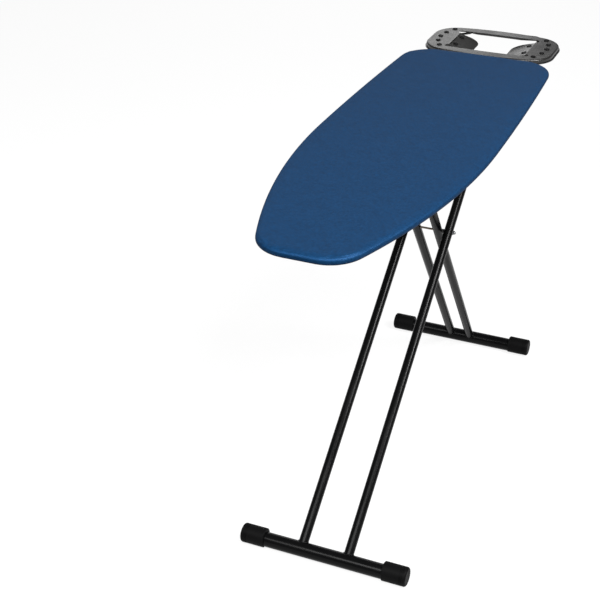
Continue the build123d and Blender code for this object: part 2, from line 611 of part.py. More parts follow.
def rest_plate():
    """Stamped steel iron rest with a turned-down rim, a rolled lip and two bent flaps."""
    low = PLATE_TOP - PLATE_RIM
    under = PLATE_TOP - PLATE_SHEET
    shell = slab(plate_face(PLATE_LIP), low, PLATE_TOP)
    shell = fillet(ends(shell, PLATE_TOP), PLATE_ROLL)
    core = slab(plate_face(PLATE_LIP + PLATE_SHEET), low, under)
    core = fillet(ends(core, under), PLATE_ROLL - PLATE_SHEET)
    lip = slab(plate_face(), low, low + PLATE_SHEET)
    lip -= slab(plate_face(PLATE_LIP + PLATE_SHEET), low, low + PLATE_SHEET)
    body = (shell - core) + lip

    flange_top, flange_low = PLATE_TOP - PLATE_SHEET / 2, PLATE_TOP - OPENING_FLANGE
    collar = slab(opening_face(PLATE_SHEET), flange_low, flange_top)
    end_clear = OPENING_HALF_X - (OPENING_HALF_Y - FLAP_HALF_WIDTH) / 2
    run_out = Polygon((-end_clear, flange_top), (end_clear, flange_top), (end_clear, under - 0.5),
                      (OPENING_FLANGE_HALF, flange_low), (-OPENING_FLANGE_HALF, flange_low),
                      (-end_clear, under - 0.5), align=None)
    body += collar & extrude(Plane.XZ * run_out, PLATE_HALF_Y, both=True)
    window = slab(opening_face(), low - 1, PLATE_TOP + 1)
    fold_width = 2.0
    for side in (-1, 1):
        root, outside = sorted((side * OPENING_HALF_X, side * PLATE_HALF_X))
        window -= box_between((root, -FLAP_HALF_WIDTH, low - 1), (outside, FLAP_HALF_WIDTH, PLATE_TOP + 1))
    body -= window
    for side in (-1, 1):
        inner, outer = sorted((side * (OPENING_HALF_X - 0.1), side * (OPENING_HALF_X + fold_width)))
        body += box_between((inner, -FLAP_HALF_WIDTH, under), (outer, FLAP_HALF_WIDTH, PLATE_TOP))
        body += flap(side)
    return Pos(REST_SHIFT, PLATE_Y, 0) * body


def stud():
    """One low silicone dome, standing on its own origin."""
    dome = Pos(0, 0, STUD_HEIGHT / 2) * Cylinder(STUD_RADIUS, STUD_HEIGHT)
    return fillet(dome.edges().group_by(Axis.Z)[-1], STUD_EDGE)


def rest_studs():
    """Silicone domes that the hot iron sits on, in two bowed rows of five."""
    group = []
    for side in (-1, 1):
        for step in range(-2, 3):
            turn = radians(STUD_STEP * step)
            x = REST_SHIFT + side * (STUD_RING_SHIFT[0] + STUD_RING * cos(turn))
            y = PLATE_Y + STUD_RING_SHIFT[1] + STUD_RING * sin(turn)
            group.append(Pos(x, y, PLATE_TOP) * stud())
    return Compound(group)


def flap_studs():
    """Two more domes on each flap, leaning with it."""
    group = []
    z = PLATE_TOP - (OPENING_HALF_X - FLAP_STUD_X) * tan(FLAP_ANGLE)
    for side in (-1, 1):
        for end in (-1, 1):
            x = REST_SHIFT + side * FLAP_STUD_X
            y = PLATE_Y + end * FLAP_STUD_SPACING / 2
            lean = Rot(0, -side * degrees(FLAP_ANGLE), 0)
            group.append(Pos(x, y, z) * lean * stud())
    return Compound(group)


def wire_frame():
    """One bent wire: narrow under the board, wide under the iron rest, closed by a loop beyond it."""
    leg_end = BRACES["wire"][0] - BRACE_HALF_WIDTH
    rise = ((SQUARE_END_Y + 4.0, WIRE_UNDER_BOARD), (PLATE_Y - WIRE_NARROW_RUN, WIRE_UNDER_PLATE))
    route = [(WIRE_X, leg_end, WIRE_UNDER_BOARD)]
    route += [(WIRE_X, y, z) for y, z in rise]
    route += [(WIRE_WIDE_X, PLATE_Y - WIRE_WIDE_RUN, WIRE_UNDER_PLATE),
              (WIRE_WIDE_X, PLATE_Y + WIRE_WIDE_RUN, WIRE_UNDER_PLATE),
              (WIRE_X, PLATE_Y + WIRE_NARROW_RUN, WIRE_UNDER_PLATE),
              (WIRE_X, WIRE_LOOP_Y, WIRE_UNDER_PLATE)]
    radii = [WIRE_EASE, WIRE_BEND, WIRE_BEND, WIRE_BEND, WIRE_BEND, WIRE_BEND]
    route += [(-x, y, z) for x, y, z in reversed(route)]
    path = FilletPolyline(*route, radius=radii + radii[::-1])
    section = Plane(origin=route[0], z_dir=(0, 1, 0)) * Circle(WIRE_RADIUS)
    return Pos(WIRE_SHIFT, 0, 0) * sweep(section, path=path)


def saddle(x, y, wire_z, top, size, below):
    """A block with rounded lower edges that carries the wire in a bore along Y."""
    half_x, half_y = size
    low = wire_z - WIRE_RADIUS - below
    block = box_between((x - half_x, y - half_y, low), (x + half_x, y + half_y, top))
    block = fillet(block.edges().filter_by(Axis.Y).group_by(Axis.Z)[0], WIRE_RADIUS)
    return block - Pos(x, y, wire_z) * Rot(90, 0, 0) * Cylinder(WIRE_RADIUS, 4 * half_y)


def wire_clips():
    """Four blocks that hang the iron rest's solid sides on the wire."""
    group = []
    for side in (-1, 1):
        for end in (-1, 1):
            x = WIRE_SHIFT + side * WIRE_WIDE_X
            y = PLATE_Y + end * CLIP_SPACING / 2
            group.append(saddle(x, y, WIRE_UNDER_PLATE, PLATE_TOP - PLATE_SHEET, (8.0, 5.5), 2.0))
    return Compound(group)


def wire_saddles():
    """Four blocks that clamp the wire's legs to the two rear braces."""
    group = []
    for brace in ("rear", "wire"):
        for side in (-1, 1):
            x = WIRE_SHIFT + side * WIRE_X
            group.append(saddle(x, BRACES[brace][0], WIRE_UNDER_BOARD, BRACE_BOTTOM, (8.0, 6.0), 2.5))
    return Compound(group)


# ---------------------------------------------------------------- scissor pivot
def scissor_rod():
    """The long thin bar through all four leg tubes where they cross."""
    reach = OUTER_TUBE_X + LEG_RADIUS + 4.0
    return rod_x(-reach, reach, PIVOT_Y, PIVOT_Z, SCISSOR_ROD_RADIUS)


def scissor_spacers():
    """Black rings between each inner tube and the outer tube beside it."""
    near_x, far_x = INNER_TUBE_X + LEG_RADIUS + 0.2, OUTER_TUBE_X - LEG_RADIUS
    group = []
    for side in (-1, 1):
        ring = rod_x(side * near_x, side * far_x, PIVOT_Y, PIVOT_Z, SPACER_RADIUS)
        group.append(ring - rod_x(side * near_x, side * far_x, PIVOT_Y, PIVOT_Z, SCISSOR_ROD_RADIUS))
    return Compound(group)


def scissor_washers():
    """Flat washers under the end nuts."""
    near_x = OUTER_TUBE_X + LEG_RADIUS
    far_x = near_x + WASHER_THICKNESS
    group = []
    for side in (-1, 1):
        ring = rod_x(side * near_x, side * far_x, PIVOT_Y, PIVOT_Z, WASHER_RADIUS)
        group.append(ring - rod_x(side * near_x, side * far_x, PIVOT_Y, PIVOT_Z, SCISSOR_ROD_RADIUS))
    return Compound(group)


def scissor_nuts():
    """Domed cap nuts on both ends of the rod."""
    across, height, dome = 8.0, 3.2, 3.0
    near_x = OUTER_TUBE_X + LEG_RADIUS + WASHER_THICKNESS
    nut = extrude(Plane.YZ.offset(near_x) * RegularPolygon(across / 2, 6, major_radius=False), height)
    cap = rod_x(near_x + height, near_x + height + dome, 0, 0, 3.7)
    nut += fillet(cap.edges().group_by(Axis.X)[-1], 2.8)
    nut -= rod_x(near_x, OUTER_TUBE_X + LEG_RADIUS + 4.0, 0, 0, SCISSOR_ROD_RADIUS)
    nut = Pos(0, PIVOT_Y, PIVOT_Z) * nut
    return Compound([nut.solid(), mirror(nut, about=Plane.YZ).solid()])


def slide_rod():
    """The bar through the inner tubes' tops that runs in the rack rail."""
    reach = INNER_TUBE_X + LEG_RADIUS + 2.0
    return rod_x(-reach, reach, SLIDE_Y, SLIDE_Z, PIN_RADIUS)


def slide_rod_caps():
    """Push-on caps at both ends of the slide rod."""
    near_x = INNER_TUBE_X + LEG_RADIUS
    group = []
    for side in (-1, 1):
        cap = rod_x(side * near_x, side * (near_x + 3.4), SLIDE_Y, SLIDE_Z, 6.5)
        group.append(cap - rod_x(side * near_x, side * (near_x + 2.0), SLIDE_Y, SLIDE_Z, PIN_RADIUS))
    return Compound(group)


# ---------------------------------------------------------------- all nodes
def leg_nodes():
    """Both leg frames: tubes, plugs, foot bars and caps."""
    fit = RUNNING_CLEARANCE
    outer_bores = [(HINGE_Y, HINGE_HEIGHT, PIN_RADIUS + fit), (PIVOT_Y, PIVOT_Z, SCISSOR_ROD_RADIUS)]
    inner_bores = [(SLIDE_Y, SLIDE_Z, PIN_RADIUS), (PIVOT_Y, PIVOT_Z, SCISSOR_ROD_RADIUS + fit)]
    frames = {
        "outer": (OUTER_TUBE_X, FRONT_FOOT_Y, HINGE_Y, HINGE_HEIGHT, outer_bores),
        "inner": (INNER_TUBE_X, REAR_FOOT_Y, SLIDE_Y, SLIDE_Z, inner_bores),
    }
    found = {}
    for name, (x, foot_y, top_y, top_z, bores) in frames.items():
        for side, label in ((-1, "left"), (1, "right")):
            found[f"{name}_tube_{label}"] = leg_tube(side * x, foot_y, top_y, top_z, bores)
            found[f"{name}_tube_plug_{label}"] = tube_plug(side * x, foot_y, top_y, top_z)
    for name, y in (("front", FRONT_FOOT_Y), ("rear", REAR_FOOT_Y)):
        found[f"{name}_foot_bar"] = foot_bar(y)
        for side, label in ((-1, "left"), (1, "right")):
            found[f"{name}_foot_cap_{label}"] = foot_cap(y, side)
    return found


def all_nodes():
    """Every separate piece by name."""
    nodes = {
        "board_cover": board_cover(),
        "underlay_pad": underlay_pad(),
        "deck_mesh": deck_mesh(),
        "deck_rim": deck_rim(),
        "rack_rail": rack_rail(),
        "rail_rivets": rail_rivets(),
        "bracket_rivets": bracket_rivets(),
        "rest_plate": rest_plate(),
        "rest_studs": rest_studs(),
        "flap_studs": flap_studs(),
        "rest_wire_frame": wire_frame(),
        "wire_clips": wire_clips(),
        "wire_saddles": wire_saddles(),
        "scissor_rod": scissor_rod(),
        "scissor_spacers": scissor_spacers(),
        "scissor_washers": scissor_washers(),
        "scissor_nuts": scissor_nuts(),
        "slide_rod": slide_rod(),
        "slide_rod_caps": slide_rod_caps(),
        "slide_rod_spacer": rod_spacer(),
        "rail_shoe": rail_shoe(),
        "pawl_pin": pawl_pin(),
        "lever_grip": lever_grip(),
        "lever_spring": lever_spring(),
    }
    for name, (centre_y, half_length) in BRACES.items():
        nodes[f"cross_brace_{name}"] = cross_brace(centre_y, half_length)
    for side, label in ((-1, "left"), (1, "right")):
        nodes[f"stiffener_{label}"] = stiffener(side)
        nodes[f"hinge_bracket_{label}"] = hinge_bracket(side)
        nodes[f"hinge_pin_{label}"] = hinge_pin(side)
        nodes[f"lever_plate_{label}"] = lever_plate(side)
    nodes.update(leg_nodes())
    return nodes


os.makedirs("parts", exist_ok=True)
for node_name, shape in all_nodes().items():
    export_step(shape, f"parts/{node_name}.step")

print("outer leg angle", round(degrees(OUTER_ANGLE), 4), "inner leg angle", round(degrees(INNER_ANGLE), 4))
print("fold ratio", round(FOLD_RATIO, 6))
joint_places = {
    "hinge": (HINGE_Y, HINGE_HEIGHT),
    "pivot": (PIVOT_Y, PIVOT_Z),
    "slide rod": (SLIDE_Y, SLIDE_Z),
    "front foot": (FRONT_FOOT_Y, FOOT_Z),
    "rear foot": (REAR_FOOT_Y, FOOT_Z),
}
for place_name, (y, z) in joint_places.items():
    print(place_name, "y", round(y, 4), "z", round(z, 4))
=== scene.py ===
from math import asin, cos, hypot, pi, radians, sin, sqrt, tanh

import bpy
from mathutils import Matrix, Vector
from mathutils.kdtree import KDTree


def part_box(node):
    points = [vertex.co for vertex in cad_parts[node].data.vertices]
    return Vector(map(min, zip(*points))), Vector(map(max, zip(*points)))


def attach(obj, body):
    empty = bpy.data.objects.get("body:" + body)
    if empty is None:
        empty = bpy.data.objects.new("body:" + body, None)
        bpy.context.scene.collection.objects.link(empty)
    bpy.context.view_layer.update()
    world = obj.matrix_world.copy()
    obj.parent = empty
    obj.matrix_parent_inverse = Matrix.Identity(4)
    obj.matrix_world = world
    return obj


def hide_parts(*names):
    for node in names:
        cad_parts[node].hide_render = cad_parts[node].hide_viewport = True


# Looks for the ironing board, in metres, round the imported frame.
# X runs across the board, +Y towards the iron rest, the floor is Z = 0.

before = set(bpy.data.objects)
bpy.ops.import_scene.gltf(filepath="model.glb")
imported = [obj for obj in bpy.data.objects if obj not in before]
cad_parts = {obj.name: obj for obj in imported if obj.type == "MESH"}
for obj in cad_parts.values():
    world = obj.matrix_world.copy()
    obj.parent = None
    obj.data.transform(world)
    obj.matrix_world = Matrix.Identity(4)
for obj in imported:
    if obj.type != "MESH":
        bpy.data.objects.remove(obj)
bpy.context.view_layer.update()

# ---------------------------------------------------------------- places taken from the frame
COVER_LOW, COVER_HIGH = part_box("board_cover")
PAD_LOW, PAD_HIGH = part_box("underlay_pad")
BOARD_LENGTH = COVER_HIGH.y - COVER_LOW.y
BOARD_HALF_WIDTH = COVER_HIGH.x
BOARD_TOP = COVER_HIGH.z
BOARD_BOTTOM = COVER_LOW.z
SQUARE_END_Y = COVER_HIGH.y

# ---------------------------------------------------------------- the board's plan
WIDEST_FROM_END = 0.590
END_CORNER_RADIUS = 0.082
NOSE_CORNER_RADIUS = 0.080
REAR_SIDE_RADIUS = 9.860
NOSE_SIDE_RADIUS = 1.650
EDGE_ROUNDING = 0.007
GRID_STEP = 0.011            # mesh spacing on the cover and on the pad

# ---------------------------------------------------------------- cover and pad
ROUNDING_STEPS = 6           # mesh rings in each quarter of the rounded edge
HEM_INSETS = (0.010, 0.0135, 0.017, 0.0205, 0.024, 0.027)
HEM_LIFT = 0.0006            # the hem's outside lies this far above the CAD cover's underside
HEM_REACH = 0.042            # cloth beyond the plan's edge, round the edge and turned under
HELD_FROM_RING = 11          # the hem's elastic holds every ring from this one inwards
CLOTH_THICKNESS = 0.0011
SWELL_PRESSURE = 4.0
SWELL_CAP = 0.0018
SWELL_FRAMES = 20
PUCKER_PITCH = 0.021
PUCKER_DEPTH = 0.0011
PUCKER_RISE = 0.006          # puckers stay below this height over the underside
PUCKER_START = 0.003         # and begin this far in from the plan's edge
PUCKER_GROWTH = 0.020        # distance over which they reach their full depth
PUCKER_ON_SIDES = 0.35       # share of that depth on the long sides
PAD_ROUNDING = 0.0035
PAD_ROUNDING_STEPS = 4
PAD_CHAMFER = 0.0008
TAPE_INSETS = (0.0215, 0.0325)
TAPE_THICKNESS = 0.0016
TAPE_HEIGHT = BOARD_BOTTOM + 0.0004
TAPE_SIDES = 8
TAPE_PITCH = 0.0082
TAPE_RIPPLE = 0.00045
STITCH_INSET = 0.0268
STITCH_PITCH = 0.0042
STITCH_LENGTH = 0.0031
STITCH_RADIUS = 0.00038
STITCH_HEIGHT = BOARD_BOTTOM - 0.0004
STITCH_SIDES = 6
STITCH_FORM = ((-0.5, 0.25), (-0.36, 0.85), (0.0, 1.0), (0.36, 0.85), (0.5, 0.25))   # place, fullness
SEWING_STEPS = (340, 1120)   # points across and along the board where tape and stitches run

# ---------------------------------------------------------------- weld sizes
TUBE_RADIUS = 0.011
FOOT_BAR_RADIUS = 0.017
BEAD_THICKNESS = 0.0017
BEAD_STEPS = 120
BEAD_RIPPLE = 0.13           # how much its thickness changes along its ripples
BEAD_RIPPLE_STEPS = 5.0
BEAD_DRIFT = 0.06            # how much it changes more slowly
BEAD_SIDES = 8

# ---------------------------------------------------------------- studio values
FLOOR_REACH = 200.0
FLOOR_COLOR = (0.14, 0.14, 0.14)
FLOOR_GLOW = 0.86
WORLD_GLOW = 0.2

# ---------------------------------------------------------------- camera
CAMERA_PLACE = (0.8396, -2.6832, 1.9439)
CAMERA_YAW = 23.06
CAMERA_PITCH = 29.39
CAMERA_LENS = 79.17
CAMERA_SENSOR = 36.0
CAMERA_FAR = 500.0


def make_camera():
    """A level camera in front of the nose, to the right, looking down along the board."""
    data = bpy.data.cameras.new("camera")
    data.lens = CAMERA_LENS
    data.sensor_width = CAMERA_SENSOR
    data.clip_end = CAMERA_FAR
    camera = bpy.data.objects.new("camera", data)
    camera.location = CAMERA_PLACE
    camera.rotation_euler = (radians(90 - CAMERA_PITCH), 0, radians(CAMERA_YAW))
    bpy.context.scene.collection.objects.link(camera)
    bpy.context.scene.camera = camera


make_camera()


# ---------------------------------------------------------------- materials
class Finish:
    """A material being made: its shader, with short ways to add texture to it."""

    def __init__(self, name, color, roughness, metallic=0.0, specular=0.5):
        self.material = bpy.data.materials.new(name)
        self.material.use_nodes = True
        self.nodes = self.material.node_tree.nodes
        self.links = self.material.node_tree.links
        self.shader = self.nodes["Principled BSDF"]
        self.color = color
        self.set("Base Color", (*color, 1.0))
        self.set("Roughness", roughness)
        self.set("Metallic", metallic)
        self.set("Specular IOR Level", specular)
        self.places = {}

    def set(self, socket, value):
        self.shader.inputs[socket].default_value = value

    def join(self, output, socket):
        self.links.new(output, self.shader.inputs[socket])

    def place(self, stretch=(1.0, 1.0, 1.0)):
        """Object coordinates, stretched along each axis."""
        if stretch not in self.places:
            coordinates = self.nodes.new("ShaderNodeTexCoord")
            mapping = self.nodes.new("ShaderNodeMapping")
            mapping.inputs["Scale"].default_value = stretch
            self.links.new(coordinates.outputs["Object"], mapping.inputs["Vector"])
            self.places[stretch] = mapping.outputs["Vector"]
        return self.places[stretch]

    def noise(self, scale, detail=2.0, stretch=(1.0, 1.0, 1.0), rough=0.5):
        """A noise value between 0 and 1, with scale in blobs to the metre."""
        texture = self.nodes.new("ShaderNodeTexNoise")
        texture.inputs["Scale"].default_value = scale
        texture.inputs["Detail"].default_value = detail
        texture.inputs["Roughness"].default_value = rough
        self.links.new(self.place(stretch), texture.inputs["Vector"])
        return texture.outputs["Fac"]

    def cells(self, scale, stretch=(1.0, 1.0, 1.0)):
        """Distance to the nearest of many scattered points."""
        texture = self.nodes.new("ShaderNodeTexVoronoi")
        texture.inputs["Scale"].default_value = scale
        self.links.new(self.place(stretch), texture.inputs["Vector"])
        return texture.outputs["Distance"]

    def math(self, operation, first, second=None):
        """One arithmetic step on values or numbers."""
        step = self.nodes.new("ShaderNodeMath")
        step.operation = operation
        for socket, value in zip(step.inputs, (first, second)):
            if isinstance(value, (int, float)):
                socket.default_value = value
            elif value is not None:
                self.links.new(value, socket)
        return step.outputs["Value"]

    def add(self, base, value, share):
        """One value, with a share of another added to it."""
        return self.math("ADD", base, self.math("MULTIPLY", value, share))

    def mix(self, first, share, second, other_share):
        """Two values added together, each times its own share."""
        return self.add(self.math("MULTIPLY", first, share), second, other_share)

    def span(self, value, low, high, to_low, to_high):
        """A value's range, stretched to another range and held inside it."""
        reach = self.nodes.new("ShaderNodeMapRange")
        self.links.new(value, reach.inputs["Value"])
        for name, number in zip(("From Min", "From Max", "To Min", "To Max"), (low, high, to_low, to_high)):
            reach.inputs[name].default_value = number
        return reach.outputs["Result"]

    def tint(self, factor, dark, light, low=0.3, high=0.7):
        """Base colour running between two shades of the finish's colour."""
        ramp = self.nodes.new("ShaderNodeValToRGB")
        ramp.color_ramp.elements[0].position = low
        ramp.color_ramp.elements[1].position = high
        for element, share in zip(ramp.color_ramp.elements, (dark, light)):
            element.color = (*(c * share for c in self.color), 1.0)
        self.links.new(factor, ramp.inputs["Fac"])
        self.join(ramp.outputs["Color"], "Base Color")

    def relief(self, height, strength, distance):
        """Adds a bump on top of any that is already there."""
        bump = self.nodes.new("ShaderNodeBump")
        bump.inputs["Strength"].default_value = strength
        bump.inputs["Distance"].default_value = distance
        self.links.new(height, bump.inputs["Height"])
        normal = self.shader.inputs["Normal"]
        if normal.is_linked:
            self.links.new(normal.links[0].from_socket, bump.inputs["Normal"])
        self.join(bump.outputs["Normal"], "Normal")


def woven_cloth(name, color, thread=0.0009):
    """Plain-woven cotton: over-and-under threads with painted shade in the gaps between them, heathered yarn
    and a slight unevenness.
    """
    finish = Finish(name, color, roughness=0.42, specular=0.6)
    finish.set("Specular Tint", (0.14, 0.42, 1.0, 1.0))
    finish.set("Sheen Weight", 0.02)
    finish.set("Sheen Roughness", 0.4)
    finish.set("Sheen Tint", (0.35, 0.55, 1.0, 1.0))
    split = finish.nodes.new("ShaderNodeSeparateXYZ")
    finish.links.new(finish.place(), split.inputs["Vector"])
    x, y, z = (split.outputs[axis] for axis in "XYZ")
    across = finish.math("MULTIPLY", finish.math("ADD", x, z), pi / thread)
    along = finish.math("MULTIPLY", finish.math("ADD", y, z), pi / thread)
    warp = finish.math("ABSOLUTE", finish.math("SINE", across))
    weft = finish.math("ABSOLUTE", finish.math("SINE", along))
    crossing = finish.math("MULTIPLY", finish.math("SINE", across), finish.math("SINE", along))
    over = finish.math("GREATER_THAN", crossing, 0.0)
    under = finish.math("SUBTRACT", 1.0, over)
    thread_rise_and_gap_shade = finish.mix(warp, over, weft, under)
    blotch = finish.noise(30.0, detail=3.0)
    yarn_across = finish.noise(240.0, detail=2.0, stretch=(0.25, 3.0, 1.0))
    yarn_along = finish.noise(240.0, detail=2.0, stretch=(3.0, 0.25, 1.0))
    yarn = finish.mix(yarn_across, 0.35, yarn_along, 0.35)
    heather = finish.noise(150.0, detail=4.0, rough=0.65)
    shade = finish.add(yarn, blotch, 0.10)
    shade = finish.add(shade, finish.math("SUBTRACT", heather, 0.5), 0.36)
    # painted shade: the thread profile darkens the base colour towards each thread's edges, where shade falls
    # in the gaps between threads
    shade = finish.add(shade, finish.math("SUBTRACT", thread_rise_and_gap_shade, 0.6), 0.12)
    finish.tint(shade, dark=0.74, light=1.28, low=0.28, high=0.52)
    finish.relief(thread_rise_and_gap_shade, strength=0.30, distance=0.0003)
    finish.relief(blotch, strength=0.12, distance=0.002)
    finish.join(finish.span(yarn, 0.2, 0.5, 0.36, 0.46), "Roughness")
    return finish.material


def sewing_thread(name, color):
    """Twisted polyester thread."""
    finish = Finish(name, color, roughness=0.5, specular=0.4)
    twist = finish.noise(1800.0, detail=2.0, stretch=(1.0, 1.0, 2.5))
    finish.tint(twist, dark=0.7, light=1.25)
    finish.relief(twist, strength=0.4, distance=0.0002)
    return finish.material


def felt(name, color):
    """Pressed felt: matted fibres, small pills and a soft fuzz."""
    finish = Finish(name, color, roughness=0.95, specular=0.15)
    finish.set("Sheen Weight", 0.3)
    finish.set("Sheen Roughness", 0.6)
    fibre = finish.noise(1400.0, detail=5.0, stretch=(1.0, 0.4, 1.0), rough=0.7)
    clump = finish.noise(120.0, detail=4.0)
    finish.tint(finish.mix(fibre, 0.6, clump, 0.4), dark=0.78, light=1.12)
    finish.relief(fibre, strength=0.5, distance=0.0006)
    finish.relief(clump, strength=0.4, distance=0.0015)
    return finish.material


def powder_coat(name, color, roughness, grain=900.0, depth=0.00006, specular=0.5):
    """Baked powder coat: fine orange peel, slight drift of tone and of gloss."""
    finish = Finish(name, color, roughness, specular=specular)
    peel = finish.noise(grain, detail=2.0)
    drift = finish.noise(14.0, detail=4.0)
    dust = finish.noise(5200.0, detail=1.0)
    finish.tint(finish.mix(drift, 0.7, dust, 0.3), dark=0.82, light=1.2)
    finish.relief(peel, strength=0.5, distance=depth)
    finish.join(finish.span(drift, 0.3, 0.7, roughness - 0.05, roughness + 0.06), "Roughness")
    return finish.material


def moulded_plastic(name, color, roughness, specular=0.4):
    """Injection moulding with a spark-eroded grain and faint flow marks."""
    finish = Finish(name, color, roughness, specular=specular)
    grain = finish.cells(1500.0)
    flow = finish.noise(22.0, detail=3.0, stretch=(1.0, 1.0, 2.5))
    finish.tint(finish.mix(grain, 0.5, flow, 0.5), dark=0.8, light=1.25, low=0.25, high=0.7)
    finish.relief(grain, strength=0.45, distance=0.00012)
    finish.relief(flow, strength=0.15, distance=0.0006)
    finish.join(finish.span(flow, 0.3, 0.7, roughness - 0.06, roughness + 0.08), "Roughness")
    return finish.material


def soft_rubber(name, color):
    """Silicone: matt, faintly dusty, with tiny pits."""
    finish = Finish(name, color, roughness=0.6, specular=0.12)
    pits = finish.noise(2600.0, detail=3.0)
    bloom = finish.noise(160.0, detail=3.0)
    finish.tint(bloom, dark=0.8, light=1.6)
    finish.relief(pits, strength=0.3, distance=0.0001)
    finish.join(finish.span(bloom, 0.3, 0.7, 0.5, 0.72), "Roughness")
    return finish.material


def plated_steel(name, color, roughness, grain=(1.0, 1.0, 1.0)):
    """Plated steel: spangle, fine draw lines and small stains in the gloss."""
    finish = Finish(name, color, roughness, metallic=1.0)
    spangle = finish.cells(420.0)
    lines = finish.noise(700.0, detail=3.0, stretch=grain)
    stain = finish.noise(60.0, detail=4.0)
    finish.tint(finish.mix(spangle, 0.35, stain, 0.65), dark=0.78, light=1.15, low=0.25, high=0.7)
    finish.relief(lines, strength=0.25, distance=0.00008)
    finish.join(finish.span(stain, 0.3, 0.7, roughness - 0.08, roughness + 0.1), "Roughness")
    return finish.material


def milky_nylon(name, color):
    """Natural nylon, slightly see-through, with a moulded grain."""
    finish = Finish(name, color, roughness=0.42, specular=0.5)
    finish.set("Subsurface Weight", 0.25)
    finish.set("Subsurface Radius", (0.004, 0.0035, 0.003))
    cloud = finish.noise(90.0, detail=3.0)
    finish.tint(cloud, dark=0.88, light=1.08)
    finish.relief(finish.noise(1500.0), strength=0.25, distance=0.0001)
    return finish.material


def make_finishes():
    """One material for each of the record's slots, and two for sewing."""
    return {
        "cover_fabric": woven_cloth("cover_fabric_weave", (0.0028, 0.0240, 0.0680)),
        "pad_felt": felt("pad_felt_fibres", (0.46, 0.445, 0.41)),
        "deck_steel": powder_coat("deck_steel_coat", (0.27, 0.275, 0.28), 0.42, grain=700.0),
        "leg_paint": powder_coat("leg_paint_coat", (0.0022, 0.0022, 0.0024), 0.25, specular=0.09),
        "foot_plastic": moulded_plastic("foot_plastic_grain", (0.0022, 0.0022, 0.0023), 0.55, specular=0.06),
        "plug_plastic": moulded_plastic("plug_plastic_grain", (0.006, 0.006, 0.0065), 0.48),
        "rest_paint": powder_coat("rest_paint_coat", (0.0075, 0.0073, 0.0070), 0.34, grain=1300.0),
        "silicone": soft_rubber("silicone_matt", (0.0018, 0.0018, 0.0020)),
        "wire_paint": powder_coat("wire_paint_coat", (0.005, 0.005, 0.0054), 0.35),
        "zinc_steel": plated_steel("zinc_steel_plate", (0.25, 0.255, 0.26), 0.36),
        "rod_steel": plated_steel("rod_steel_plate", (0.20, 0.165, 0.135), 0.48, grain=(0.1, 3.0, 3.0)),
        "spring_steel": plated_steel("spring_steel_wire", (0.50, 0.50, 0.51), 0.3),
        "nylon": milky_nylon("nylon_moulded", (0.75, 0.74, 0.70)),
        "grip_plastic": moulded_plastic("grip_plastic_grain", (0.006, 0.006, 0.0065), 0.5),
        "tape": woven_cloth("hem_tape_weave", (0.0055, 0.0180, 0.0470), thread=0.0012),
        "thread": sewing_thread("hem_thread_twist", (0.0120, 0.0350, 0.0900)),
    }


FINISHES = make_finishes()


def paint_frame():
    """Every CAD node's plain finish is exchanged for the detailed one of the same slot."""
    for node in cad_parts.values():
        for place in node.material_slots:
            place.material = FINISHES[place.material.name]


paint_frame()


# ---------------------------------------------------------------- mesh helpers
def new_mesh(name, points, faces, finish):
    """A mesh object from plain lists, with its finish."""
    mesh = bpy.data.meshes.new(name)
    mesh.from_pydata(points, [], faces)
    mesh.materials.append(FINISHES[finish])
    mesh.polygons.foreach_set("use_smooth", [True] * len(mesh.polygons))
    mesh.update()
    piece = bpy.data.objects.new(name, mesh)
    bpy.context.scene.collection.objects.link(piece)
    return piece


def apply_modifiers(piece):
    """Turns the piece's modifiers into plain geometry."""
    shown = piece.evaluated_get(bpy.context.evaluated_depsgraph_get())
    mesh = bpy.data.meshes.new_from_object(shown)
    piece.modifiers.clear()
    piece.data = mesh


def arc(centre_x, centre_run, radius, start, end):
    """A stretch of the plan on a circle: its length, and its point and outward normal at a share."""
    def at(share):
        turn = start + (end - start) * share
        return (centre_x + radius * cos(turn), centre_run + radius * sin(turn)), (cos(turn), sin(turn))
    return abs(radius * (end - start)), at


def straight(first, last, normal):
    """A straight stretch of the plan."""
    def at(share):
        return tuple(a + (b - a) * share for a, b in zip(first, last)), normal
    return hypot(last[0] - first[0], last[1] - first[1]), at


def sampled(parts, count):
    """Evenly spaced points and outward normals along joined stretches."""
    total = sum(length for length, _ in parts)
    found = []
    for step in range(count + 1):
        run = total * step / count
        for length, at in parts:
            if run <= length + 1e-9:
                found.append(at(min(run / length, 1.0)))
                break
            run -= length
    return found


